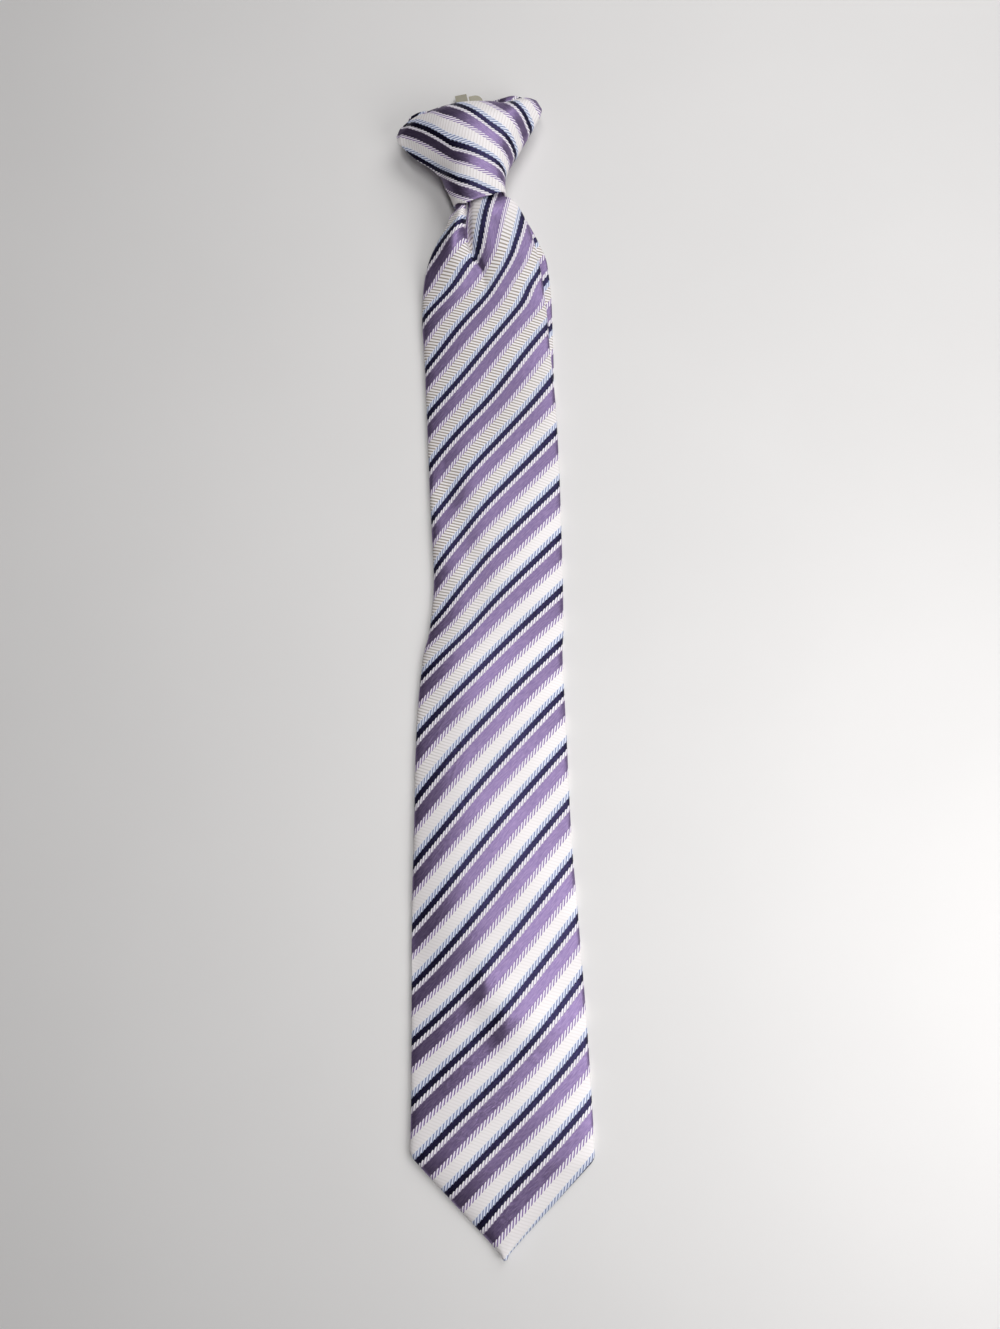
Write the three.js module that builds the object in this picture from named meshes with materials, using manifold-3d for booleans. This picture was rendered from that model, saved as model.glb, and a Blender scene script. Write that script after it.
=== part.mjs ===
// Clip-on necktie, lying face up. Millimetres, +Z up, the tie's length along Y with the knot at +Y.
// The blade, tail and knot are folded, padded cloth. The clip under the knot is stamped nickel-plated steel.
import * as THREE from 'three';
import { mergeVertices } from 'three/addons/utils/BufferGeometryUtils.js';
import Module from 'manifold-3d';

const wasm = await Module();
wasm.setup();

// Driving dimensions of the cloth
const tieLength = 504; // tip of the blade to the top of the knot
const bladeWidth = 75; // across the two corners above the tip
const tipHeight = 40; // tip to the line through those corners
const tipBlunt = 1.2; // half width of the turned cloth at the very tip
const clothThickness = 3.6; // front, turned-in back and padding of the blade
const bladeArch = 3.6; // rise of the blade's middle over the tail
const archFoot = 0.93; // share of the half width where the arch comes down to the floor
const tailWidth = 35;
const tailLength = 352; // mouth of the knot to the tail's own tip
const tailTipHeight = 17;
const tailThickness = 2.4;
const tailEase = 1.2; // how much narrower than the blade's neck the tail's neck is folded
const pleatDepth = 3.4; // dimple pressed into the blade under the knot
const pleatWidth = 1.8;
const lobeRise = 2.6; // swelling of the cloth on both sides of the dimple

// Driving dimensions of the knot
const knotWidth = 68.3; // wing tip to wing tip
const knotHeight = 48;
const knotDepth = 17.7; // back of the knot to the crown of its front
const knotTopDrop = 4; // top of the knot below the highest wing
const knotTurn = 11; // degrees that the knot leans off the tie's axis
const knotOffset = -1.7; // centre of the knot beside the tie's axis
const backFlatAtMouth = 8; // exponents of the back's section, fuller towards the mouth
const backFlatAtTop = 4;
const wrapWall = 2.2;
const neckEase = 2.6; // room beside the blade's neck inside the mouth
const neckAside = 1.7; // middle of the mouth beside the knot's centre
const foldReach = 2.4; // second layer showing past the front's top edge
const foldStart = 0.72; // where the second layer begins, from the mouth, 0, to the top, 1
const mouthShare = 0.9; // mouth of the knot, as a share of tieLength

// Driving dimensions of the clip
const clipWidth = 12.8;
const clipHeight = 7; // foot of the ears to the back of the knot
const sheet = 0.8; // thickness of the stamped sheet
const pinRadius = 0.65;
const pinHeadRadius = 1.3;
const pinHeight = 3.4;
const clipAside = 4.8; // centre line of the clip beside the knot's centre
const hingeUp = 22; // hinge above the knot's centre
const jawReach = 21.4; // hinge to the teeth
const padReach = 30; // hinge to the free end of the base
const padLength = 7;
const padStep = 0.3; // thickening of the base past the teeth
const tabReach = 17.6; // hinge to the end of the finger tab
const tabWidth = 5.5;
const lugReach = 12.1; // hinge to the end of the base's upper lug
const lugWidth = 6;
const lugCorner = 3.5;
const earLength = 7.4;
const earFoot = 4.8;
const toothPitch = 2.2;
const toothGap = 1.1;
const toothDepth = 0.8;
const jawDrop = 1.6; // plate's underside to the middle of the jaw's sheet
const jawKick = 0.35; // upward bend before the teeth
const tabHeight = 1.5; // floor to the middle of the finger tab's sheet
const tabSet = 0.3; // rise of the tab towards the hinge
const tabKnee = 1; // rise at the bend next to the hinge
const pinHeadLength = 0.6;

// Clearances
const gap = 0.3; // between neighbouring pieces
const runningGap = 0.35; // round the pin and beside the lever
const foldGap = 0.36; // round the second layer inside the wrap
const neckGap = 0.6; // under the tail's neck, which comes down over the lip of the mouth

// Heights that follow from the stack of clip, knot, tail and blade
const knotBack = clipHeight + gap;
const cavityFloor = knotBack + wrapWall;
const tailNeck = cavityFloor + neckGap;
const bladeNeck = tailNeck + tailThickness + gap;

// Levels of detail
const bladeSteps = 18;
const tailSteps = 12;
const knotSteps = 18;
const leastFullness = 6; // exponent of a band's section, fuller where the band is wide
const fullnessPerWidth = 0.9;
const roundedCorner = 0.06; // share of a pointed end's height that is rounded off at its corners

// Places along the tie, measured from the blade's tip
const knotCentre = tieLength - 0.5 * knotHeight - knotTopDrop;
const mouthPlace = mouthShare * tieLength;

// Outline and height of the blade. at: share of tieLength from the tip. left and right: shares of half the width.
// gather: 0 for the open blade, 1 for the neck inside the knot. skew: slope of the section against the tie's
// axis, which follows the slanted mouth. lowLeft and lowRight: height of each edge's underside, as a share of
// bladeNeck. arch: share of bladeArch. thick: share of clothThickness.
const bladeRows = [
  { at: 0, left: 1, right: 1, gather: 0, skew: 0, lowLeft: 0, lowRight: 0, arch: 0.1, thick: 0.62 },
  { at: 0.08, left: 1, right: 1, gather: 0, skew: 0, lowLeft: 0, lowRight: 0, arch: 0.45, thick: 1 },
  { at: 0.104, left: 0.985, right: 0.995, gather: 0, skew: 0, lowLeft: 0, lowRight: 0, arch: 0.7, thick: 1 },
  { at: 0.168, left: 0.965, right: 0.973, gather: 0, skew: 0, lowLeft: 0, lowRight: 0, arch: 1, thick: 1 },
  { at: 0.27, left: 0.941, right: 0.912, gather: 0, skew: 0, lowLeft: 0, lowRight: 0, arch: 1, thick: 1 },
  { at: 0.335, left: 0.907, right: 0.872, gather: 0, skew: 0, lowLeft: 0, lowRight: 0, arch: 1, thick: 1 },
  { at: 0.412, left: 0.869, right: 0.861, gather: 0, skew: 0, lowLeft: 0, lowRight: 0, arch: 1, thick: 1 },
  { at: 0.485, left: 0.773, right: 0.848, gather: 0, skew: 0, lowLeft: 0, lowRight: 0, arch: 1, thick: 1 },
  { at: 0.505, left: 0.701, right: 0.869, gather: 0, skew: 0, lowLeft: 0, lowRight: 0, arch: 1, thick: 1 },
  { at: 0.553, left: 0.632, right: 0.883, gather: 0, skew: 0, lowLeft: 0, lowRight: 0.02, arch: 1.02, thick: 1 },
  { at: 0.628, left: 0.661, right: 0.888, gather: 0, skew: 0, lowLeft: 0, lowRight: 0.09, arch: 1.02, thick: 1 },
  { at: 0.705, left: 0.683, right: 0.872, gather: 0, skew: 0, lowLeft: 0, lowRight: 0.22, arch: 0.95, thick: 1 },
  { at: 0.767, left: 0.704, right: 0.82, gather: 0, skew: 0, lowLeft: 0, lowRight: 0.27, arch: 0.9, thick: 1 },
  { at: 0.793, left: 0.72, right: 0.803, gather: 0, skew: 0.02, lowLeft: 0.01, lowRight: 0.29, arch: 0.9, thick: 1 },
  { at: 0.82, left: 0.707, right: 0.765, gather: 0, skew: 0.08, lowLeft: 0.06, lowRight: 0.34, arch: 0.85, thick: 1.05 },
  { at: 0.845, left: 0.65, right: 0.7, gather: 0, skew: 0.17, lowLeft: 0.22, lowRight: 0.48, arch: 0.75, thick: 1.15 },
  { at: 0.862, left: 0.56, right: 0.625, gather: 0, skew: 0.24, lowLeft: 0.42, lowRight: 0.6, arch: 0.65, thick: 1.25 },
  { at: 0.876, left: 0.45, right: 0.53, gather: 0, skew: 0.3, lowLeft: 0.68, lowRight: 0.8, arch: 0.45, thick: 1.2 },
  { at: 0.887, left: 0.37, right: 0.43, gather: 0, skew: 0.33, lowLeft: 0.9, lowRight: 0.94, arch: 0.15, thick: 1.05 },
  { at: 0.891, left: 0.35, right: 0.37, gather: 0, skew: 0.33, lowLeft: 0.97, lowRight: 0.98, arch: 0.03, thick: 0.95 },
  { at: 0.896, left: 0.31, right: 0.3, gather: 1, skew: 0.33, lowLeft: 1, lowRight: 1, arch: 0, thick: 0.9 },
  { at: 0.91, left: 0.27, right: 0.3, gather: 1, skew: 0.3, lowLeft: 1, lowRight: 1, arch: 0, thick: 0.9 },
  { at: 0.955, left: 0.27, right: 0.3, gather: 1, skew: 0.15, lowLeft: 1, lowRight: 1, arch: 0, thick: 0.9 },
];

// Outline and height of the tail. down: share of tailLength from the mouth. middle: its centre line beside the
// tie's axis, as a share of half of bladeWidth. wide: share of tailWidth. gather and skew: as the blade's.
// low: height of its underside, as a share of tailNeck.
const tailRows = [
  { down: -0.075, middle: 0, wide: 0.5, gather: 1, skew: 0.15, low: 1 },
  { down: -0.012, middle: 0.02, wide: 0.52, gather: 1, skew: 0.33, low: 1 },
  { down: 0.008, middle: 0.1, wide: 0.57, gather: 0.6, skew: 0.33, low: 1 },
  { down: 0.016, middle: 0.14, wide: 0.67, gather: 0, skew: 0.33, low: 0.93 },
  { down: 0.04, middle: 0.23, wide: 0.77, gather: 0, skew: 0.29, low: 0.66 },
  { down: 0.068, middle: 0.33, wide: 0.87, gather: 0, skew: 0.22, low: 0.43 },
  { down: 0.092, middle: 0.39, wide: 0.95, gather: 0, skew: 0.15, low: 0.26 },
  { down: 0.14, middle: 0.405, wide: 1, gather: 0, skew: 0.04, low: 0.07 },
  { down: 0.19, middle: 0.405, wide: 1, gather: 0, skew: 0, low: 0 },
  { down: 0.245, middle: 0.395, wide: 1, gather: 0, skew: 0, low: 0 },
  { down: 0.33, middle: 0.3, wide: 1, gather: 0, skew: 0, low: 0 },
  { down: 0.42, middle: 0.19, wide: 1, gather: 0, skew: 0, low: 0 },
  { down: 0.6, middle: 0.1, wide: 1, gather: 0, skew: 0, low: 0 },
  { down: 1, middle: 0.06, wide: 1, gather: 0, skew: 0, low: 0 },
];

// Rings of the knot from its mouth, up 0, to its top, up 1. left and right: shares of knotWidth.
// front and side: heights above the knot's back, shares of knotDepth. round: how full the front's section is.
// edge: wall at the side folds, in multiples of wrapWall.
const knotRows = [
  { up: 0.0, left: -0.208, right: 0.152, front: 0.72, side: 0.3, round: 0.38, edge: 1.0 },
  { up: 0.15, left: -0.22, right: 0.17, front: 0.79, side: 0.29, round: 0.45, edge: 1.0 },
  { up: 0.25, left: -0.236, right: 0.195, front: 0.845, side: 0.28, round: 0.53, edge: 1.1 },
  { up: 0.35, left: -0.243, right: 0.237, front: 0.89, side: 0.26, round: 0.61, edge: 1.3 },
  { up: 0.45, left: -0.272, right: 0.291, front: 0.93, side: 0.24, round: 0.7, edge: 1.6 },
  { up: 0.55, left: -0.316, right: 0.34, front: 0.98, side: 0.22, round: 0.76, edge: 1.9 },
  { up: 0.65, left: -0.375, right: 0.391, front: 1.0, side: 0.21, round: 0.82, edge: 2.2 },
  { up: 0.75, left: -0.416, right: 0.442, front: 0.99, side: 0.2, round: 0.86, edge: 2.4 },
  { up: 0.85, left: -0.45, right: 0.49, front: 0.9, side: 0.19, round: 0.88, edge: 2.5 },
  { up: 0.93, left: -0.465, right: 0.521, front: 0.76, side: 0.18, round: 0.88, edge: 2.5 },
  { up: 1.0, left: -0.464, right: 0.536, front: 0.49, side: 0.17, round: 0.85, edge: 2.5 },
];

// Lower and upper edge of the knot's front, as shares of knotHeight from its centre. across: -1 left, 1 right.
const lipRows = [
  { across: -1, rise: -0.477 },
  { across: -0.6, rise: -0.525 },
  { across: 0, rise: -0.518 },
  { across: 0.4, rise: -0.49 },
  { across: 1, rise: -0.415 },
];
const crestRows = [
  { across: -1, rise: 0.415 },
  { across: -0.93, rise: 0.483 },
  { across: -0.65, rise: 0.514 },
  { across: -0.2, rise: 0.535 },
  { across: 0.3, rise: 0.506 },
  { across: 0.5, rise: 0.486 },
  { across: 0.8, rise: 0.499 },
  { across: 0.94, rise: 0.46 },
  { across: 1, rise: 0.375 },
];

const mix = (a, b, share) => a + (b - a) * share;
const clamp01 = (value) => Math.min(1, Math.max(0, value));
const degrees = (angle) => (angle * Math.PI) / 180;

// Reads a column of a table at any place by a cubic through the rows that never overshoots them.
function read(rows, key, column, place) {
  const last = rows.length - 1;
  const x = clampTo(place, rows[0][key], rows[last][key]);
  let i = 0;
  while (i < last - 1 && x > rows[i + 1][key]) i += 1;
  const step = rows[i + 1][key] - rows[i][key];
  const share = (x - rows[i][key]) / step;
  const from = tangent(rows, key, column, i) * step;
  const to = tangent(rows, key, column, i + 1) * step;
  const rise = rows[i + 1][column] - rows[i][column];
  const bend = from + to - 2 * rise;
  return rows[i][column] + share * (from + share * (3 * rise - 2 * from - to + share * bend));
}

function clampTo(value, low, high) {
  return Math.min(high, Math.max(low, value));
}

// Slope at a row: the harmonic mean of its neighbours' slopes, and level where the column turns back.
function tangent(rows, key, column, i) {
  if (i === 0 || i === rows.length - 1) return 0;
  const before = (rows[i][column] - rows[i - 1][column]) / (rows[i][key] - rows[i - 1][key]);
  const after = (rows[i + 1][column] - rows[i][column]) / (rows[i + 1][key] - rows[i][key]);
  return before * after > 0 ? (2 * before * after) / (before + after) : 0;
}

// Joins rings of equally many points into a skin. Open runs get a flat end at each side, endless runs close up.
function skin(rings, endless = false) {
  const count = rings[0].length;
  const positions = rings.flat();
  const index = [];
  const runs = endless ? rings.length : rings.length - 1;
  for (let j = 0; j < runs; j += 1) {
    const here = j * count;
    const next = ((j + 1) % rings.length) * count;
    for (let i = 0; i < count; i += 1) {
      const k = (i + 1) % count;
      index.push(here + i, here + k, next + k, here + i, next + k, next + i);
    }
  }
  if (!endless) {
    for (const [ring, flip] of [[0, true], [rings.length - 1, false]]) {
      const centre = positions.length;
      positions.push(middleOf(rings[ring]));
      for (let i = 0; i < count; i += 1) {
        const a = ring * count + i;
        const b = ring * count + ((i + 1) % count);
        index.push(centre, flip ? b : a, flip ? a : b);
      }
    }
  }
  return facingOut(positions, index);
}

function middleOf(ring) {
  return ring.reduce((sum, p) => sum.add(p), new THREE.Vector3()).divideScalar(ring.length);
}

// Builds the geometry with its faces turned outwards, which a positive enclosed volume shows.
function facingOut(positions, index) {
  const cross = new THREE.Vector3();
  let volume = 0;
  for (let t = 0; t < index.length; t += 3) {
    cross.crossVectors(positions[index[t + 1]], positions[index[t + 2]]);
    volume += positions[index[t]].dot(cross);
  }
  if (volume < 0) index.reverse();
  const geometry = new THREE.BufferGeometry().setFromPoints(positions);
  geometry.setIndex(index);
  geometry.computeVertexNormals();
  return geometry;
}

// Places from 0 to 1, closer together at both ends.
function eased(steps) {
  return Array.from({ length: steps + 1 }, (_, i) => 0.5 - 0.5 * Math.cos((Math.PI * i) / steps));
}

// A flat band's ring: the top from the left edge to the right one and the underside back. height(across) is the
// band's middle, half its half thickness; its long edges are round folds.
function bandRing({ y, skew, left, right, half, height, lift = () => 0, steps }) {
  const fullness = Math.max(leastFullness, (fullnessPerWidth * (right - left)) / half);
  const ring = [];
  const place = eased(steps).map((share) => 2 * share - 1);
  const edge = (across) => Math.sqrt(1 - Math.abs(across) ** fullness);
  const put = (across, z) => {
    const x = mix(left, right, 0.5 + 0.5 * across);
    ring.push(new THREE.Vector3(x, y + skew * (x - neckMiddle), z));
  };
  for (const across of place) put(across, height(across) + (half + lift(across)) * edge(across));
  for (const across of place.slice(1, -1).reverse()) put(across, height(across) - half * edge(across));
  return ring;
}

// Stations along a strip: each span ends at its own place and is cut in equal steps.
function stations(spans) {
  const places = [spans[0].from];
  for (const { to, steps } of spans) {
    const start = places.at(-1);
    for (let i = 1; i <= steps; i += 1) places.push(mix(start, to, i / steps));
  }
  return places;
}

// Share of the full width near a pointed end: straight sides, a rounded corner and a blunt tip.
function pointed(distance, height, blunt) {
  const straight = Math.hypot(distance / height, blunt);
  const near = Math.max(roundedCorner - Math.abs(straight - 1), 0) / roundedCorner;
  return Math.min(straight, 1) - (near * near * roundedCorner) / 4;
}

// Half the width that fits through the knot's mouth, and the middle of that neck
const mouthHalf = 0.5 * knotWidth * (knotRows[0].right - knotRows[0].left);
const neckHalf = mouthHalf - wrapWall - neckEase;
const neckMiddle = knotOffset + neckAside;

// The line of the dimple and the swellings beside it, beside the tie's axis. at: share of tieLength.
const pleatRows = [
  { at: 0.8, line: -5.0, deep: 0, swell: 0 },
  { at: 0.835, line: -4.4, deep: 0.12, swell: 0.3 },
  { at: 0.852, line: -2.8, deep: 0.35, swell: 0.6 },
  { at: 0.864, line: -4.4, deep: 0.85, swell: 0.9 },
  { at: 0.88, line: -4.8, deep: 1, swell: 1 },
  { at: 0.895, line: -4.8, deep: 1, swell: 0.75 },
  { at: 0.905, line: -4.6, deep: 0.4, swell: 0 },
];

function pleatLift(at, x, left, right) {
  if (at <= pleatRows[0].at || at >= pleatRows.at(-1).at) return 0;
  const line = read(pleatRows, 'at', 'line', at);
  const beside = x < line ? (x - left) / (line - left) : (right - x) / (right - line);
  const swelling = lobeRise * read(pleatRows, 'at', 'swell', at) * Math.sin(Math.PI * clamp01(beside)) ** 2;
  const groove = pleatDepth * read(pleatRows, 'at', 'deep', at) * Math.exp(-(((x - line) / pleatWidth) ** 2));
  return swelling - groove;
}

// Soft dents where the blade lies over the end of the tail. at: share of tieLength, beside: share of half width.
const dents = [
  { at: 0.226, beside: -0.2, deep: 0.9, long: 0.022, wide: 0.24 },
  { at: 0.176, beside: 0.02, deep: 0.8, long: 0.018, wide: 0.26 },
];

function dentLift(at, across) {
  return dents.reduce((sum, dent) => {
    const along = (at - dent.at) / dent.long;
    const beside = (across - dent.beside) / dent.wide;
    return sum - dent.deep * Math.exp(-(along ** 2) - beside ** 2);
  }, 0);
}

function bladeRing(distance) {
  const at = distance / tieLength;
  const cell = (column) => read(bladeRows, 'at', column, at);
  const tip = pointed(distance, tipHeight, (2 * tipBlunt) / bladeWidth);
  const half = 0.5 * clothThickness * cell('thick');
  const gather = cell('gather');
  const left = mix(-0.5 * bladeWidth * cell('left') * tip, neckMiddle - neckHalf, gather);
  const right = mix(0.5 * bladeWidth * cell('right') * tip, neckMiddle + neckHalf, gather);
  const height = (across) => {
    const low = bladeNeck * mix(cell('lowLeft'), cell('lowRight'), 0.5 + 0.5 * across);
    const foot = Math.min(1, Math.abs(across) / archFoot);
    return low + half + bladeArch * cell('arch') * (1 - foot ** 4);
  };
  const lift = (across) =>
    pleatLift(at, mix(left, right, 0.5 + 0.5 * across), left, right) + dentLift(at, across);
  const skew = cell('skew');
  return bandRing({ y: distance, skew, left, right, half, height, lift, steps: bladeSteps });
}

function bladeGeometry() {
  const places = stations([
    { from: 0, to: 0.5 * tipHeight, steps: 4 },
    { to: 1.1 * tipHeight, steps: 6 },
    { to: 0.24 * tieLength, steps: 9 },
    { to: 0.48 * tieLength, steps: 6 },
    { to: 0.56 * tieLength, steps: 5 },
    { to: 0.8 * tieLength, steps: 6 },
    { to: mouthPlace, steps: 16 },
    { to: bladeRows.at(-1).at * tieLength, steps: 4 },
  ]);
  return skin(places.map(bladeRing));
}

function tailRing(down) {
  const cell = (column) => read(tailRows, 'down', column, down / tailLength);
  const tip = pointed(tailLength - down, tailTipHeight, (2 * tipBlunt) / tailWidth);
  const gather = cell('gather');
  const middle = mix(0.5 * bladeWidth * cell('middle'), neckMiddle, gather);
  const halfWidth = mix(0.5 * tailWidth * cell('wide') * tip, neckHalf - tailEase, gather);
  const half = 0.5 * tailThickness;
  const low = tailNeck * cell('low') + half;
  const [left, right] = [middle - halfWidth, middle + halfWidth];
  const skew = cell('skew');
  return bandRing({ y: mouthPlace - down, skew, left, right, half, height: () => low, steps: tailSteps });
}

function tailGeometry() {
  const places = stations([
    { from: tailRows[0].down * tailLength, to: 0, steps: 3 },
    { to: 0.2 * tailLength, steps: 13 },
    { to: 0.45 * tailLength, steps: 5 },
    { to: tailLength - 1.1 * tailTipHeight, steps: 4 },
    { to: tailLength - 0.5 * tailTipHeight, steps: 4 },
    { to: tailLength, steps: 3 },
  ]);
  return skin(places.map(tailRing));
}

// One ring of the knot in its own frame: the front from left to right, then the back. inset 0 is the outside,
// 1 the inside of the wrap, and more leaves a clearance. past: how far the ring goes beyond the crest.
function knotRing(up, { inset = 0, clearance = 0, past = 0, flatten = 1 }) {
  const cell = (column) => read(knotRows, 'up', column, up);
  const flat = mix(backFlatAtMouth, backFlatAtTop, up);
  const wall = inset * wrapWall + clearance;
  const sideWall = inset * wrapWall * cell('edge') + 2 * clearance;
  const left = knotWidth * cell('left') + sideWall;
  const right = knotWidth * cell('right') - sideWall;
  const side = knotDepth * cell('side');
  const front = knotDepth * cell('front') - wall;
  const round = cell('round');
  const point = (across, height) => {
    const low = knotHeight * read(lipRows, 'across', 'rise', across);
    const high = knotHeight * read(crestRows, 'across', 'rise', across);
    const z = knotBack + mix(side, height, flatten);
    return new THREE.Vector3(mix(left, right, 0.5 + 0.5 * across), mix(low, high, up) + past, z);
  };
  const ring = [];
  const place = eased(knotSteps).map((share) => 2 * share - 1);
  for (const across of place) ring.push(point(across, mix(side, front, (1 - across ** 2) ** round)));
  for (const across of place.slice(1, -1).reverse()) {
    ring.push(point(across, mix(side, wall, 1 - Math.abs(across) ** flat)));
  }
  return ring;
}

// The wrapped front of the knot: a flattened tube of cloth, open at its mouth and at its top.
function wrapGeometry() {
  const places = stations([{ from: 0, to: 0.85, steps: 11 }, { to: 1, steps: 4 }]);
  const outer = places.map((up) => knotRing(up, {}));
  const inner = places.map((up) => knotRing(up, { inset: 1 })).reverse();
  return skin([...outer, ...inner], true);
}

// Rings of the second layer past the top of the knot. past: share of foldReach. flatten: share of its depth.
const rolledRows = [
  { past: 0.6, flatten: 0.9 },
  { past: 1, flatten: 0.45 },
];

// The second layer, which fills the top of the wrap and rolls out over its edge.
function foldGeometry() {
  const inside = { inset: 1, clearance: foldGap };
  const rings = stations([{ from: foldStart, to: 1, steps: 6 }]).map((up) => knotRing(up, inside));
  for (const { past, flatten } of rolledRows) {
    rings.push(knotRing(1, { ...inside, past: past * foldReach, flatten }));
  }
  return skin(rings);
}

// Turns a closed three.js geometry into a solid that can be cut and joined, and back.
function toSolid(geometry) {
  const bare = geometry.clone();
  bare.deleteAttribute('normal');
  bare.deleteAttribute('uv');
  const merged = mergeVertices(bare, 1e-4);
  const vertProperties = new Float32Array(merged.attributes.position.array);
  const triVerts = new Uint32Array(merged.index.array);
  return new wasm.Manifold(new wasm.Mesh({ numProp: 3, vertProperties, triVerts }));
}

function toGeometry(solid) {
  const mesh = solid.getMesh();
  const geometry = new THREE.BufferGeometry();
  geometry.setAttribute('position', new THREE.BufferAttribute(mesh.vertProperties, mesh.numProp));
  geometry.setIndex(new THREE.BufferAttribute(mesh.triVerts, 1));
  geometry.computeVertexNormals();
  return geometry;
}

// A side profile in the clip's Y and Z, extruded across the clip from one X to another.
function acrossClip(profile, from, to) {
  const shape = new THREE.Shape(profile.map(([y, z]) => new THREE.Vector2(y, z)));
  const geometry = new THREE.ExtrudeGeometry(shape, { depth: to - from, bevelEnabled: false });
  const axes = new THREE.Matrix4().makeBasis(
    new THREE.Vector3(0, 1, 0),
    new THREE.Vector3(0, 0, 1),
    new THREE.Vector3(1, 0, 0),
  );
  return toSolid(geometry.applyMatrix4(axes).translate(from, 0, 0));
}

// A rod across the clip at the hinge, centred on the clip's middle.
function rodAtHinge(radius, length) {
  const rod = new THREE.CylinderGeometry(radius, radius, length, 16).rotateZ(0.5 * Math.PI);
  return toSolid(rod.translate(0, 0, pinHeight));
}

// A plan outline in the clip's X and Y, extruded from one height to another.
function upright(shape, from, to) {
  const geometry = new THREE.ExtrudeGeometry(shape, { depth: to - from, bevelEnabled: false, curveSegments: 6 });
  return toSolid(geometry.translate(0, 0, from));
}

function rectangle(left, right, bottom, top) {
  return new THREE.Shape([
    new THREE.Vector2(left, bottom),
    new THREE.Vector2(right, bottom),
    new THREE.Vector2(right, top),
    new THREE.Vector2(left, top),
  ]);
}

// The base: a plate on the knot's back with two ears that hold the pin, a lug that stands out past the top of
// the knot and a thicker pad at its free end. The clip's own origin is on the floor under the hinge.
const halfClip = 0.5 * clipWidth;
const plateTop = clipHeight;
const plateUnder = clipHeight - sheet;
const pinHole = pinRadius + runningGap;

function baseGeometry() {
  const shoulder = lugReach - lugCorner;
  const plan = new THREE.Shape();
  plan.moveTo(-halfClip, -padReach);
  plan.lineTo(halfClip, -padReach);
  plan.lineTo(halfClip, shoulder);
  plan.absarc(halfClip - lugCorner, shoulder, lugCorner, 0, 0.5 * Math.PI, false);
  plan.lineTo(halfClip - lugWidth, lugReach);
  plan.lineTo(halfClip - lugWidth, shoulder);
  plan.lineTo(-halfClip, shoulder);
  let base = upright(plan, plateUnder, plateTop);
  const pad = rectangle(-halfClip, halfClip, -padReach, padLength - padReach);
  base = base.add(upright(pad, plateUnder - padStep, plateUnder + 0.5 * sheet));
  const ear = [
    [-0.5 * earLength, plateUnder + 0.5 * sheet],
    [-0.5 * earFoot, 0],
    [0.5 * earFoot, 0],
    [0.5 * earLength, plateUnder + 0.5 * sheet],
  ];
  base = base.add(acrossClip(ear, -halfClip, sheet - halfClip));
  base = base.add(acrossClip(ear, halfClip - sheet, halfClip));
  return toGeometry(base.subtract(rodAtHinge(pinHole, 2 * clipWidth)));
}

// A strip of sheet along a bent line in the clip's Y and Z, as a closed profile.
function stripProfile(line, thickness) {
  const offset = (sign) =>
    line.map(([y, z], i) => {
      const [y0, z0] = line[Math.max(i - 1, 0)];
      const [y1, z1] = line[Math.min(i + 1, line.length - 1)];
      const length = Math.hypot(y1 - y0, z1 - z0);
      const shift = (0.5 * sign * thickness) / length;
      return [y - (z1 - z0) * shift, z + (y1 - y0) * shift];
    });
  return [...offset(1), ...offset(-1).reverse()];
}

// The lever: a finger tab past the hinge, a sleeve round the pin and a jaw whose teeth meet the base.
function leverGeometry() {
  const half = halfClip - sheet - runningGap;
  const jawHeight = plateUnder - jawDrop;
  const toothTop = plateUnder - gap;
  const tabLine = [
    [tabReach, tabHeight],
    [0.45 * tabReach, tabHeight + tabSet],
    [0.22 * tabReach, tabHeight + tabKnee],
    [0, pinHeight],
  ];
  const jawLine = [
    [0, pinHeight],
    [-0.24 * jawReach, jawHeight],
    [-0.92 * jawReach, jawHeight],
    [-jawReach + 0.5 * sheet, jawHeight + jawKick],
    [-jawReach + 0.5 * sheet, toothTop],
  ];
  const shoulder = tabLine.slice(1);
  let lever = acrossClip(stripProfile(tabLine, sheet), -half, tabWidth - half);
  lever = lever.add(acrossClip(stripProfile(shoulder, sheet), -half, half));
  lever = lever.add(acrossClip(stripProfile(jawLine, sheet), -half, half));
  lever = lever.add(rodAtHinge(pinHole + sheet, 2 * half));
  lever = lever.subtract(rodAtHinge(pinHole, 2 * clipWidth));
  const teeth = Math.floor((2 * half) / toothPitch);
  for (let i = 0; i < teeth; i += 1) {
    const x = (i - 0.5 * (teeth - 1)) * toothPitch;
    const notch = rectangle(x - 0.5 * toothGap, x + 0.5 * toothGap, -jawReach - sheet, 1.6 * sheet - jawReach);
    lever = lever.subtract(upright(notch, toothTop - toothDepth, plateTop));
  }
  return toGeometry(lever);
}

// The pin: one turned rod with a head outside each ear.
function pinGeometry() {
  const ear = halfClip + gap;
  const profile = [
    [0, -ear - pinHeadLength],
    [pinHeadRadius, -ear - pinHeadLength],
    [pinHeadRadius, -ear],
    [pinRadius, -ear],
    [pinRadius, ear],
    [pinHeadRadius, ear],
    [pinHeadRadius, ear + pinHeadLength],
    [0, ear + pinHeadLength],
  ].map(([r, x]) => new THREE.Vector2(r, x));
  const pin = new THREE.LatheGeometry(profile, 14).rotateZ(-0.5 * Math.PI);
  return toGeometry(toSolid(pin.translate(0, 0, pinHeight)));
}

const silk = new THREE.MeshStandardMaterial({ color: 0x8574a0, roughness: 0.62, metalness: 0 });
const paleSilk = new THREE.MeshStandardMaterial({ color: 0xe1dedd, roughness: 0.65, metalness: 0 });
const nickel = new THREE.MeshStandardMaterial({ color: 0xb4b2a4, roughness: 0.32, metalness: 1 });

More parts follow.
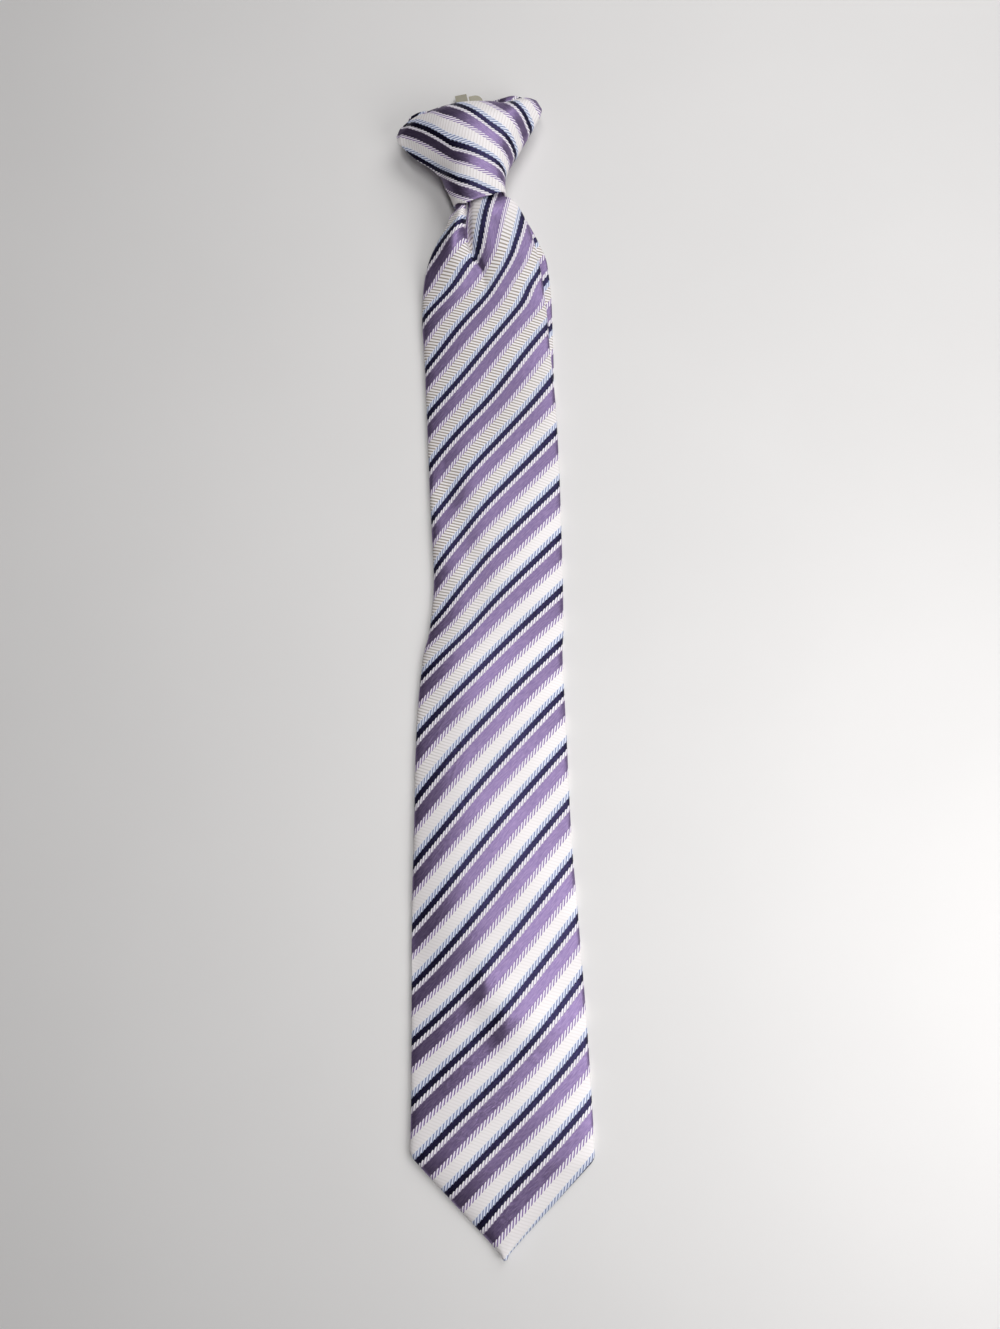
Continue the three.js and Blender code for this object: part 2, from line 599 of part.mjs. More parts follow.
function piece(name, geometry, material) {
  const mesh = new THREE.Mesh(geometry, material);
  mesh.name = name;
  return mesh;
}

const clip = new THREE.Group();
clip.position.set(clipAside, hingeUp, 0);
clip.add(
  piece('clip_base', baseGeometry(), nickel),
  piece('clip_lever', leverGeometry(), nickel),
  piece('clip_pin', pinGeometry(), nickel),
);

const knot = new THREE.Group();
knot.position.set(knotOffset, knotCentre, 0);
knot.rotation.z = degrees(knotTurn);
knot.add(
  piece('knot_wrap', wrapGeometry(), silk),
  piece('knot_fold', foldGeometry(), paleSilk),
  clip,
);

const tie = new THREE.Group();
tie.add(piece('blade', bladeGeometry(), silk), piece('tail', tailGeometry(), paleSilk), knot);

// The origin is on the floor under the middle of the whole tie.
const extent = new THREE.Box3().setFromObject(tie, true);
const centre = extent.getCenter(new THREE.Vector3());
tie.position.set(-centre.x, -centre.y, -extent.min.z);

export default tie;
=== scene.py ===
"""Clip-on necktie of striped woven silk, lying face up on a pale table. Laid out as a Blender add-on."""
import math

import bpy
import numpy as np
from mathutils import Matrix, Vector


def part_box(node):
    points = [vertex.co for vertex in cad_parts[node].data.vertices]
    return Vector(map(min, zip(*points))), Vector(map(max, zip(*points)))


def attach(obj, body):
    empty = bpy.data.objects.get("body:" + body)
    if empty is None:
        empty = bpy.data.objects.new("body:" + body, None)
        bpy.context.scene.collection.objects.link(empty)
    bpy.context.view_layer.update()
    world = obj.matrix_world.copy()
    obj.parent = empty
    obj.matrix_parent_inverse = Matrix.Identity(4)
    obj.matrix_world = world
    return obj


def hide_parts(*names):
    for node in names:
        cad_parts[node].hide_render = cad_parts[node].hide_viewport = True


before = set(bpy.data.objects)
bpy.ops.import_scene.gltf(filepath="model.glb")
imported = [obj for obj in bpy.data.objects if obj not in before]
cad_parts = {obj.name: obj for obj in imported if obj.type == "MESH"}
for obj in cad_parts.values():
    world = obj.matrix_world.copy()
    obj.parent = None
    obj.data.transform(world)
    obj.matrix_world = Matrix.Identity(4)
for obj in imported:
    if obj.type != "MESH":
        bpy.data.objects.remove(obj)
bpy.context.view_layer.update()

bl_info = {
    "name": "Clip-on necktie",
    "version": (1, 0, 0),
    "blender": (4, 5, 0),
    "location": "View3D > Sidebar > Necktie",
    "description": "Builds a striped clip-on necktie with its knot, tail and collar clip",
    "category": "Object",
}

MM = 0.001
TIE_BODY = "tie"
CLOTH_MAP = "cloth"

# The tie's own frame starts at the blade's tip, which is the CAD blade's lowest point along Y. The tie's axis
# lies a little beside the middle of the whole. In millimetres.
AXIS_PLACE = -0.037
TIP = np.array([AXIS_PLACE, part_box("blade")[0][1] / MM, 0.0])

# The blade, in millimetres
TIE_LENGTH = 504.0
BLADE_WIDTH = 75.0
TIP_HEIGHT = 40.0
TIP_HEIGHT_RIGHT = 36.5
TIP_BLUNT = 1.2  # half width of the turned cloth at the very tip
ROUNDED_CORNER = 0.06  # rounding of the corners above a tip, as a share of the tip's height
CLOTH_THICKNESS = 3.6
BLADE_ARCH = 3.6
BLADE_NECK = 12.8  # height of the folded neck's foot where it enters the knot
NECK_MIDDLE = 0.4
NECK_HALF = 10.8
MOUTH_PLACE = 453.6  # the knot's mouth, from the tip
RIPPLE_FADE = 60.0  # the slow waves die away over this length below the mouth
LEAST_HEIGHT = 0.05
LEAST_WALL = 0.4  # the dimple stops this far above the blade's back
LOBE_LEAN = 0.75  # below 1 the swellings beside the dimple stand nearer to it
GROOVE_LEAN = 1.7  # how much wider the dimple's right wall is than its left one

# Fullness of a folded edge: the power of its roundness grows with the band's width over its half thickness
LEAST_FULLNESS = 6.0
FULLNESS_PER_WIDTH = 0.45
LAP_REACH = 0.8  # how far the lapped back flap reaches, as a share of the half width

# The tail, in millimetres
TAIL_WIDTH = 35.0
TAIL_LENGTH = 352.0
TAIL_TIP_HEIGHT = 17.0
TAIL_THICKNESS = 2.4
TAIL_EASE = 1.2  # how much narrower than the blade's neck the tail's neck is folded
TAIL_NECK = 10.1

# The knot, in millimetres
KNOT_WIDTH = 68.3
KNOT_HEIGHT = 48.0
KNOT_DEPTH = 17.7
KNOT_RIGHT_FULL = 0.4  # how much fuller the right half of the knot's front is than its left half
KNOT_RIGHT_REACH = 0.7  # the share of the half width over which it gets so
KNOT_TURN = math.radians(11)
KNOT_PLACE = np.array([-1.7, 476.0, 0.0])
KNOT_BACK = 7.3  # height of the knot's back over the table, which the clip holds up
BACK_FLAT_AT_MOUTH = 8.0  # powers of the back's section
BACK_FLAT_AT_TOP = 4.0
WRAP_WALL = 2.2
LIP_WALL = 0.5  # thickness of the wrap at its mouth, as a share of WRAP_WALL
LIP_FADE = 0.3  # the wrap has its full thickness from this share of the way up
RIM_ROLL = 0.8  # how far the wrap's mouth swells past its edge
CREST_ROLL = 0.6  # the same at its top, as a share of RIM_ROLL
FOLD_REACH = 4.4
FOLD_START = 0.72  # where the second layer begins, from the mouth, 0, to the top, 1
FOLD_GAP = 0.36
FOLD_FLAT = 0.38  # how much flatter the second layer's rolled end is than its root

# Blade from its tip: share of the length; left and right half width; gather into the neck; slope of the
# section; height of the left and right edge, of BLADE_NECK; arch; thickness. All but the slope are shares.
BLADE_ROWS = np.array([
    (0.0, 1, 1, 0, 0, 0, 0, 0.35, 0.62),
    (0.08, 1, 1, 0, 0, 0, 0, 0.7, 1),
    (0.104, 0.985, 0.995, 0, 0, 0, 0, 0.82, 1),
    (0.168, 0.965, 0.973, 0, 0, 0, 0, 1, 1),
    (0.27, 0.941, 0.912, 0, 0, 0, 0, 1, 1),
    (0.335, 0.907, 0.872, 0, 0, 0, 0, 1, 1),
    (0.412, 0.869, 0.861, 0, 0, 0, 0, 1, 1),
    (0.485, 0.773, 0.848, 0, 0, 0, 0, 1, 1),
    (0.505, 0.701, 0.869, 0, 0, 0, 0, 1, 1),
    (0.553, 0.632, 0.883, 0, 0, 0, 0.02, 0.9, 1),
    (0.628, 0.661, 0.888, 0, 0, 0, 0.09, 0.75, 1),
    (0.705, 0.683, 0.872, 0, 0, 0, 0.22, 0.62, 1),
    (0.767, 0.704, 0.82, 0, 0, 0, 0.27, 0.6, 1),
    (0.793, 0.72, 0.803, 0, 0.02, 0.01, 0.29, 0.6, 1),
    (0.82, 0.707, 0.765, 0, 0.08, 0.06, 0.34, 0.62, 1.05),
    (0.845, 0.668, 0.7, 0, 0.17, 0.22, 0.48, 0.75, 1.15),
    (0.862, 0.595, 0.625, 0, 0.24, 0.42, 0.6, 0.65, 1.25),
    (0.876, 0.48, 0.53, 0, 0.3, 0.68, 0.8, 0.45, 1.2),
    (0.887, 0.37, 0.43, 0, 0.33, 0.9, 0.94, 0.15, 1.05),
    (0.891, 0.35, 0.37, 0, 0.33, 0.97, 0.98, 0.03, 0.95),
    (0.896, 0.31, 0.3, 1, 0.33, 1, 1, 0, 0.9),
    (0.91, 0.27, 0.3, 1, 0.3, 1, 1, 0, 0.9),
    (0.955, 0.27, 0.3, 1, 0.15, 1, 1, 0, 0.9),
])

# Tail from the mouth of the knot: share of its length; middle; width; gather; slope; height.
TAIL_ROWS = np.array([
    (-0.075, 0, 0.5, 1, 0.15, 1),
    (-0.012, 0.02, 0.52, 1, 0.33, 1),
    (0.008, 0.1, 0.57, 0.6, 0.33, 1),
    (0.016, 0.14, 0.67, 0, 0.33, 0.93),
    (0.04, 0.23, 0.77, 0, 0.29, 0.66),
    (0.068, 0.33, 0.87, 0, 0.22, 0.43),
    (0.092, 0.39, 0.95, 0, 0.15, 0.26),
    (0.14, 0.405, 1, 0, 0.04, 0.07),
    (0.19, 0.405, 1, 0, 0, 0),
    (0.245, 0.395, 1, 0, 0, 0),
    (0.33, 0.3, 1, 0, 0, 0),
    (0.42, 0.19, 1, 0, 0, 0),
    (0.6, 0.1, 1, 0, 0, 0),
    (1.0, 0.06, 1, 0, 0, 0),
])

# Knot from its mouth, 0, to its top, 1: left and right edge; height of the front and of the side folds;
# roundness of the front; wall at the side folds.
KNOT_ROWS = np.array([
    (0.0, -0.208, 0.152, 0.72, 0.3, 0.38, 1.0),
    (0.15, -0.22, 0.17, 0.79, 0.29, 0.45, 1.0),
    (0.25, -0.236, 0.195, 0.845, 0.28, 0.53, 1.1),
    (0.35, -0.243, 0.237, 0.89, 0.26, 0.61, 1.3),
    (0.45, -0.272, 0.291, 0.93, 0.24, 0.7, 1.6),
    (0.55, -0.316, 0.34, 0.98, 0.22, 0.76, 1.9),
    (0.65, -0.375, 0.391, 1.0, 0.21, 0.82, 2.2),
    (0.75, -0.416, 0.442, 0.99, 0.2, 0.86, 2.4),
    (0.85, -0.45, 0.49, 0.9, 0.19, 0.88, 2.5),
    (0.93, -0.474, 0.521, 0.76, 0.18, 0.88, 2.5),
    (1.0, -0.474, 0.536, 0.49, 0.17, 0.85, 2.5),
])

# Lower and upper edge of the knot's front, from its left wing, -1, to its right wing, 1
LIP_ROWS = np.array([(-1, -0.477), (-0.6, -0.525), (0, -0.518), (0.4, -0.507), (1, -0.475)])
CREST_ROWS = np.array([
    (-1, 0.395),
    (-0.93, 0.448),
    (-0.65, 0.514),
    (-0.2, 0.535),
    (0.3, 0.49),
    (0.5, 0.457),
    (0.8, 0.476),
    (0.94, 0.45),
    (1, 0.375),
])

# How far the second layer shows past the crest, as a share of FOLD_REACH, from the left to the right wing
PEEK_ROWS = np.array([
    (-1, 1.3),
    (-0.85, 1.1),
    (-0.6, 0.6),
    (-0.3, 0.1),
    (0.4, 0.1),
    (0.55, 0.12),
    (0.7, 0.9),
    (1, 0.8),
])

# Dimple under the knot: share of the length; its line beside the axis; how deep; swelling on both sides.
PLEAT_ROWS = np.array([
    (0.8, 3.0, 0, 0),
    (0.832, 1.0, 0.12, 0.3),
    (0.845, -1.8, 0.4, 0.55),
    (0.86, -4.2, 0.85, 0.85),
    (0.874, -5.3, 1, 1),
    (0.891, -4.8, 1, 0.65),
    (0.905, -4.6, 0.6, 0.2),
])

# The blade sinks left of the tail's end, swells over its corners, and has a slanted valley beside the waist.
# Share of the length; place across; depth, negative for a swelling; reach along, to the left and the right.
DENTS = [
    (0.235, -1.3, 1.7, 0.06, 0.65, 0.65),
    (0.207, -0.1, -2.2, 0.024, 0.19, 0.6),
    (0.18, 0.1, -2.0, 0.02, 0.18, 0.5),
    (0.63, -0.72, 1.0, 0.03, 0.22, 0.22),
    (0.585, -0.5, 1.0, 0.03, 0.22, 0.22),
    (0.545, -0.3, 0.7, 0.03, 0.22, 0.22),
]

# How the stripes lie on the blade: place along the tie, in millimetres from its middle; stripes counted on
# the axis; stripes per millimetre left and right of the axis; stripes tucked away in the dimple, left of it.
BLADE_STRIPES = np.array([
    (-285, -1.9, 0.041, 0.036, 0),
    (-257, -0.8, 0.041, 0.036, 0),
    (-235, 0.0, 0.041, 0.0385, 0),
    (-211, 1.02, 0.0395, 0.0415, 0),
    (-187, 2.05, 0.038, 0.0425, 0),
    (-139, 4.03, 0.043, 0.0452, 0),
    (-88, 6.02, 0.0455, 0.0442, 0),
    (-39, 8.02, 0.042, 0.043, 0),
    (-15, 9.05, 0.0445, 0.0415, 0),
    (7, 10.03, 0.053, 0.041, 0),
    (53, 12.01, 0.051, 0.042, 0),
    (79, 13.13, 0.046, 0.044, 0),
    (102, 14.12, 0.044, 0.046, 0),
    (127, 15.12, 0.0485, 0.0495, 0),
    (145, 15.88, 0.0455, 0.0515, 0),
    (157, 16.42, 0.047, 0.061, 0),
    (165, 16.76, 0.0455, 0.063, -0.03),
    (172, 17.0, 0.045, 0.0655, 0.04),
    (179, 17.1, 0.044, 0.062, 0.3),
    (186, 17.2, 0.044, 0.061, 0.68),
    (192, 17.3, 0.044, 0.061, 1.02),
    (205, 17.5, 0.044, 0.061, 1.1),
])
AXIS_BEND = 6.0  # half the width over which the stripes turn from one slope to the other
TUCK_WIDTH = 1.6  # width of the crease in which the tucked stripes are hidden

# Stripes of the tail: a line across it that rises by the slope, one stripe for each pitch above the first one
TAIL_STRIPE_SLOPE = 1.28
TAIL_STRIPE_FIRST = 146.0
TAIL_STRIPE_PITCH = 24.2

# How the stripes lie on the knot, in millimetres. Each row is one dark stripe: its count and, at five places
# across the cloth, the height at which a slanted line through it crosses the knot's middle.
KNOT_STRIPE_PLACES = np.array([-25.0, -10.0, 0.0, 10.0, 22.0])
KNOT_STRIPE_SLOPE = 1.1  # how far that line falls for each millimetre to the right
KNOT_STRIPES = np.array([
    (-5, -66, -63, -58, -52, -46),
    (-4, -47, -44, -39.5, -34, -28),
    (-3, -27.8, -26.3, -22, -17, -11.5),
    (-2, -8.8, -9.8, -5.4, -0.9, 2.6),
    (-1, 21.4, 16.8, 16.4, 16.1, 19.2),
    (0, 46, 44.4, 43.4, 42.5, 42.4),
    (1, 70, 69, 68, 67.5, 68),
    (2, 93, 92, 91, 90, 91),
])

# Direction along the stripes of each piece, and across those of the second layer: shares to the right and up
BLADE_ALONG = (0.68, 0.73)
TAIL_ALONG = (-0.61, -0.79)
KNOT_ALONG = (0.67, -0.74)
FOLD_ALONG = (-0.74, -0.67)
FOLD_ACROSS = (-0.67, 0.74)
FOLD_FIRST = 0.09  # place in the repeat at the middle of the second layer

# One repeat of the cloth, across the stripes: each band and the share of the repeat where it starts. The navy
# one runs on from the end of a repeat into the next.
BANDS = [
    ("navy", 0.0),
    ("white_twist", 0.12),
    ("purple", 0.216),
    ("lilac_twist", 0.493),
    ("white", 0.592),
    ("blue_twist", 0.864),
    ("navy", 0.983),
]
NAVY_PLACE = 0.0675  # place inside the navy stripe at which the tables count whole stripes

# Slow waves of the resting cloth: share of the height; length along and across the tie in mm; start in turns
RIPPLES = [(0.5, 127, 210, 0.2), (0.3, 71, -88, 0.55), (0.2, 52, 61, 0.9)]

# The weave: slant of the dashes, 35 degrees off the stripe, and of the ribs, 67 degrees the other way, as
# millimetres along for each millimetre across
TWIST_SLANT = 1.43
RIB_SLANT = -0.42
RIB_ANGLE = math.radians(67)
EDGE_WAVER = 0.011  # how far the bands' edges step, as a share of the repeat

# Sizes of the finishes' patterns, in millimetres: width and length of the satin's streaks, gap and length of
# the brush lines, and the clouds in the dye, the plate and the paint
SATIN_STREAK = (0.5176, 2.933)
BRUSH_LINE = (0.154, 2.0)
DYE_CLOUD = 45.5
TARNISH_CLOUD = 3.85
PAINT_CLOUD = 111.0

# Where the cloth's look changes on the lying tie: a direction, the distances along it, in metres, at which
# the change starts and ends, and the shares before and after it
TIGHT_RIBS = ((-2.4, 1.0, 0.0), (-0.02, 0.08), (0.1, 1.0))
KNOT_RIBS = ((0.0, 1.0, 0.0), (0.175, 0.192), (1.0, 0.2))
# Painted shade: the next two rows say where the satin on the knot's left half is darkened in its colour
LEFT_PAINTED_SHADE = ((1.0, 0.2, 0.0), (0.031, 0.041), (1.0, 0.0))
KNOT_PAINTED_SHADE = ((0.0, 1.0, 0.0), (0.188, 0.192), (0.0, 1.0))
PAINTED_SHADE_BRIGHTNESS = 0.55  # brightness of the painted shade on the satin of the knot's left half

# Roughness and metallic share of the corded stripes and of the satin
CORD_FINISH = (0.62, 0.12)
SATIN_FINISH = (0.42, 0.8)

# Soft lights: name, place, width and length in metres. Each points at the middle of the tie.
LIGHTS = [
    ("window", (0.35, -0.2, 0.35), 0.4, 0.4),
    ("sky", (0.4, 0.6, 0.65), 0.8, 0.8),
    ("ceiling", (0.015, -0.05, 0.9), 0.2, 1.1),
]
TABLE_REACH = 3.0

# Inputs of a Map Range node, and inputs and output of a Mix node for colours
VALUE, LOW, HIGH, TO_LOW, TO_HIGH = range(5)
SHARE, FIRST, SECOND, MIXED = 0, 6, 7, 2


def mix(a, b, share):
    """a at share 0, b at share 1 and a straight line between them."""
    return a + (b - a) * share


def read(rows, place):
    """Cubic through the rows of a table that never overshoots them.

    The slope at a row is the harmonic mean of the slopes beside it, and level where a column turns back.
    """
    x, y = rows[:, 0], rows[:, 1:]
    slope = np.diff(y, axis=0) / np.diff(x)[:, None]
    before, after = slope[:-1], slope[1:]
    same = before * after > 0
    middle = np.where(same, 2 * before * after / np.where(same, before + after, 1), 0)
    level = np.zeros_like(y[:1])
    tangent = np.vstack([level, middle, level])
    at = np.clip(place, x[0], x[-1])
    i = np.clip(np.searchsorted(x, at) - 1, 0, len(x) - 2)
    step = x[i + 1] - x[i]
    share = ((at - x[i]) / step)[..., None]
    start, end = tangent[i] * step[..., None], tangent[i + 1] * step[..., None]
    rise = y[i + 1] - y[i]
    bend = start + end - 2 * rise
    value = y[i] + share * (start + share * (3 * rise - 2 * start - end + share * bend))
    return np.moveaxis(value, -1, 0)


def ease(value):
    """Smooth step from 0 to 1."""
    t = np.clip(value, 0, 1)
    return t * t * (3 - 2 * t)


def stations(start, *spans):
    """Places along a strip: each span ends at its own place and is cut in equal steps."""
    parts = [np.array([start])]
    for end, steps in spans:
        parts.append(np.linspace(parts[-1][-1], end, steps + 1)[1:])
    return np.concatenate(parts)


def ring_places(face_steps, back_steps):
    """Places across a closed section, and True on its face.

    The section starts in the middle of its back, runs round the left edge, over the face and round the right
    edge to the middle again. A cosine sets the columns closer together at the edges.
    """
    half = np.sin(0.5 * np.pi * np.arange(back_steps) / back_steps)
    face = -np.cos(np.pi * np.arange(face_steps + 1) / face_steps)
    across = np.concatenate([-half, face, half[::-1]])
    on_face = np.zeros(len(across), bool)
    on_face[back_steps : back_steps + face_steps + 1] = True
    return across, on_face


def arc_from_middle(x, z, middle):
    """Length of cloth from the column in the middle of the face, negative to the left."""
    length = np.hypot(np.diff(x, axis=1), np.diff(z, axis=1))
    run = np.concatenate([np.zeros((len(x), 1)), np.cumsum(length, axis=1)], axis=1)
    return run - run[:, middle : middle + 1] + x[:, middle : middle + 1]


def make_piece(name, points, cloth, node, endless=False):
    """Joins closed sections into one skin. points: rows, columns, xyz in millimetres. cloth: the same grid.

    Endless rows join up again. Other skins are closed by a fan at each end.
    """
    rows, columns = points.shape[:2]
    flat = points.reshape(-1, 3)
    runs = rows if endless else rows - 1
    here = np.arange(runs)[:, None] * columns
    there = (np.arange(runs)[:, None] + 1) % rows * columns
    side = np.arange(columns)[None, :]
    beside = (side + 1) % columns
    quads = np.stack([here + side, here + beside, there + beside, there + side], axis=-1).reshape(-1, 4)
    beside_map = np.minimum(side + 1, columns - 1)
    corners = np.stack(
        [here + side, here + beside_map, there + beside_map, there + side], axis=-1
    ).reshape(-1, 4)
    fans, fan_corners, middles, middle_cloth = [], [], [], []
    if not endless:
        for row, flip in ((0, True), (rows - 1, False)):
            centre = len(flat) + len(middles)
            middles.append(points[row].mean(axis=0))
            middle_cloth.append(cloth[row].mean(axis=0))
            a = row * columns + np.arange(columns)
            b = row * columns + (np.arange(columns) + 1) % columns
            pair = (b, a) if flip else (a, b)
            fans.append(np.stack([np.full(columns, centre), *pair], axis=-1))
            fan_corners.append(fans[-1])
    vertices = np.vstack([flat, *middles]) if middles else flat
    places = np.vstack([cloth.reshape(-1, 2), *middle_cloth]) if middles else cloth.reshape(-1, 2)
    tris = np.vstack(fans) if fans else np.zeros((0, 3), int)
    tri_corners = np.vstack(fan_corners) if fans else tris
    a, b, c, d = (vertices[quads[:, k]] for k in range(4))
    volume = (a * np.cross(b, c)).sum() + (a * np.cross(c, d)).sum()
    if volume < 0:
        quads, corners, tris, tri_corners = (m[:, ::-1] for m in (quads, corners, tris, tri_corners))
    mesh = bpy.data.meshes.new(name)
    mesh.from_pydata(vertices * MM, [], quads.tolist() + tris.tolist())
    layer = mesh.uv_layers.new(name=CLOTH_MAP)
    order = np.concatenate([corners.ravel(), tri_corners.ravel()])
    layer.data.foreach_set("uv", places[order].ravel())
    mesh.polygons.foreach_set("use_smooth", np.ones(len(mesh.polygons), bool))
    mesh.validate()
    mesh.update()
    piece = bpy.data.objects.new(name, mesh)
    bpy.context.scene.collection.objects.link(piece)
    piece.data.materials.append(striped_silk())
    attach(piece, TIE_BODY)
    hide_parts(node)
    return piece


def pointed(distance, height, blunt):
    """Share of the full width near a pointed end: straight sides, a rounded corner and a blunt tip."""
    straight = np.hypot(distance / height, blunt)
    near = np.maximum(ROUNDED_CORNER - np.abs(straight - 1), 0) / ROUNDED_CORNER
    return np.minimum(straight, 1) - near * near * ROUNDED_CORNER / 4


def band(distance, skew, left, right, half, height, lift, across, on_face, lap):
    """Sections of a folded band of cloth, and the place of each point across the cloth.

    The face is height + (half + lift) times the edge's roundness, and the back is height - half times it. The
    face stays LEAST_WALL above the back. The roundness is the root of 1 - |across| to a high power. One back
    flap laps over the other at the middle.
    """
    fullness = np.maximum(LEAST_FULLNESS, FULLNESS_PER_WIDTH * (right - left) / half)
    edge = np.sqrt(np.maximum(0, 1 - np.abs(across) ** fullness))
    x = mix(left, right, 0.5 + 0.5 * across)
    over = np.arange(len(across)) < len(across) // 2
    under = half * edge + lap * over * ease(1 - np.abs(across) / LAP_REACH)
    face = np.maximum(half + lift, LEAST_WALL - half)
    z = height + np.where(on_face, face * edge, -under)
    y = distance + skew * (x - NECK_MIDDLE) + 0 * x
    cut = np.where(on_face, 1, -1) * half * edge
    middle = len(across) // 2
    return np.stack([x, y, z], axis=-1) + TIP, arc_from_middle(x, cut, middle)


def pleat_lift(at, x, left, right, depth, width, swelling):
    """Two sine-squared swellings, fuller towards the line, with a narrow bell-shaped groove between them."""
    line, deep, swell = read(PLEAT_ROWS, at)
    left_share = (x - left) / np.maximum(line - left, 1e-6)
    right_share = (right - x) / np.maximum(right - line, 1e-6)
    beside = np.clip(np.where(x < line, left_share, right_share), 0, 1)
    rise = swelling * swell * np.sin(np.pi * (1 - beside) ** LOBE_LEAN) ** 2
    wall = np.where(x < line, width, GROOVE_LEAN * width)
    groove = depth * deep * np.exp(-(((x - line) / wall) ** 2))
    inside = (at > PLEAT_ROWS[0, 0]) & (at < PLEAT_ROWS[-1, 0])
    return np.where(inside, rise - groove, 0)


def dent_lift(at, across):
    """Bell-shaped hollows and swellings, each with its own reach to the left and to the right."""
    total = 0.0
    for place, beside, deep, long, wide_left, wide_right in DENTS:
        wide = np.where(across < beside, wide_left, wide_right)
        total = total - deep * np.exp(-(((at - place) / long) ** 2) - ((across - beside) / wide) ** 2)
    return total


def ripple(x, y, height):
    """Slow waves of resting cloth: a sum of crossing sines."""
    total = 0.0
    for share, along, aside, start in RIPPLES:
        total = total + share * np.sin(2 * np.pi * (y / along + x / aside + start))
    return height * total


def run_along(direction, right, up, repeat):
    """Repeats of the cloth along a direction."""
    return (direction[0] * right + direction[1] * up) / repeat


def blade_cloth(u, x, y, repeat):
    """Place on the striped cloth: stripes counted down across them, and repeats along them."""
    phase, left_rate, right_rate, tuck = read(BLADE_STRIPES, y)
    at = (y - TIP[1]) / TIE_LENGTH
    line = read(PLEAT_ROWS, at)[0]
    tucked = tuck * ease((line - x) / TUCK_WIDTH + 0.5)
    off_axis = np.hypot(u, AXIS_BEND) - AXIS_BEND
    count = phase - 0.5 * (left_rate + right_rate) * u + 0.5 * (left_rate - right_rate) * off_axis + tucked
    return np.stack([NAVY_PLACE - count, run_along(BLADE_ALONG, u, y, repeat)], axis=-1)


def tail_cloth(u, y, repeat):
    """The tail is cut from the same cloth turned half round, so its stripes count the other way."""
    count = (y - TAIL_STRIPE_SLOPE * u - TAIL_STRIPE_FIRST) / TAIL_STRIPE_PITCH
    return np.stack([NAVY_PLACE + count, run_along(TAIL_ALONG, u, y, repeat)], axis=-1)


def knot_cloth(u, v, repeat):
    """Counts the stripes up a slanted line through each point, between the rows of KNOT_STRIPES."""
    up = v + KNOT_STRIPE_SLOPE * u
    counts, table = KNOT_STRIPES[:, 0], KNOT_STRIPES[:, 1:]
    levels = np.stack([np.interp(u, KNOT_STRIPE_PLACES, row) for row in table])
    below = np.clip((up[None] >= levels).sum(axis=0) - 1, 0, len(table) - 2)
    low = np.take_along_axis(levels, below[None], axis=0)[0]
    high = np.take_along_axis(levels, below[None] + 1, axis=0)[0]
    count = counts[below] + (up - low) / (high - low)
    return np.stack([NAVY_PLACE - count, run_along(KNOT_ALONG, u, v, repeat)], axis=-1)


def fold_cloth(u, v, repeat):
    """The second layer's stripes lie nearly along the wrap's."""
    across = run_along(FOLD_ACROSS, u, v, repeat) + FOLD_FIRST
    return np.stack([across, run_along(FOLD_ALONG, u, v, repeat)], axis=-1)


def knot_ring(up, across, on_face, inset=0.0, clearance=0.0, past=0.0, flatten=1.0):
    """Sections of the knot in its own frame, and the length of cloth round them.

    The face rises from the side folds by (1 - across squared) to a power, and the back by 1 - |across| to a
    power. inset 0 is the outside and 1 the inside of the wrap. past goes beyond the crest or the lip.
    """
    left, right, front, side, rounded, edge = read(KNOT_ROWS, up)
    flat = mix(BACK_FLAT_AT_MOUTH, BACK_FLAT_AT_TOP, up)
    thickness = mix(LIP_WALL, 1, ease(up / LIP_FADE)) * WRAP_WALL
    wall = inset * thickness + clearance
    side_wall = inset * thickness * edge + 2 * clearance
    x = mix(KNOT_WIDTH * left + side_wall, KNOT_WIDTH * right - side_wall, 0.5 + 0.5 * across)
    low = KNOT_HEIGHT * read(LIP_ROWS, across)[0]
    high = KNOT_HEIGHT * read(CREST_ROWS, across)[0]
    y = mix(low, high, up) + past
    foot = KNOT_DEPTH * side
    power = rounded * (1 - KNOT_RIGHT_FULL * ease(across / KNOT_RIGHT_REACH))
    face = mix(foot, KNOT_DEPTH * front - wall, (1 - across**2) ** power)
    back = mix(foot, wall, 1 - np.abs(across) ** flat)
    z = KNOT_BACK + mix(foot, np.where(on_face, face, back), flatten)
    ring = np.stack([x, y, z], axis=-1)
    return ring, arc_from_middle(x, z, len(across) // 2)


def knot_to_tie(points):
    """Turns the knot's frame by its lean and sets it at the top of the tie."""
    c, s = math.cos(KNOT_TURN), math.sin(KNOT_TURN)
    x, y, z = np.moveaxis(points, -1, 0)
    return np.stack([c * x - s * y, s * x + c * y, z], axis=-1) + KNOT_PLACE + TIP


def linear(colour):
    """sRGB hex to linear red, green, blue and full alpha."""
    parts = [int(colour[i : i + 2], 16) / 255 for i in (1, 3, 5)]
    return [p / 12.92 if p <= 0.04045 else ((p + 0.055) / 1.055) ** 2.4 for p in parts] + [1.0]


def add(tree, kind, inputs=None, stops=None, **settings):
    """Adds one node. inputs are values or the sockets that feed it, stops a ramp's (place, colour) pairs."""
    node = tree.nodes.new("ShaderNode" + kind)
    for name, value in settings.items():
        setattr(node, name, value)
    for key, value in (inputs or {}).items():
        if isinstance(value, bpy.types.NodeSocket):
            tree.links.new(value, node.inputs[key])
        else:
            node.inputs[key].default_value = value
    if stops:
        ramp = node.color_ramp
        ramp.interpolation = "CONSTANT"
        while len(ramp.elements) < len(stops):
            ramp.elements.new(1.0)
        for element, (place, colour) in zip(ramp.elements, stops):
            element.position = place
            element.color = colour
    return node


def new_material(name):
    """A material with an empty node tree."""
    material = bpy.data.materials.new(name)
    material.use_nodes = True
    material.node_tree.nodes.clear()
    return material, material.node_tree


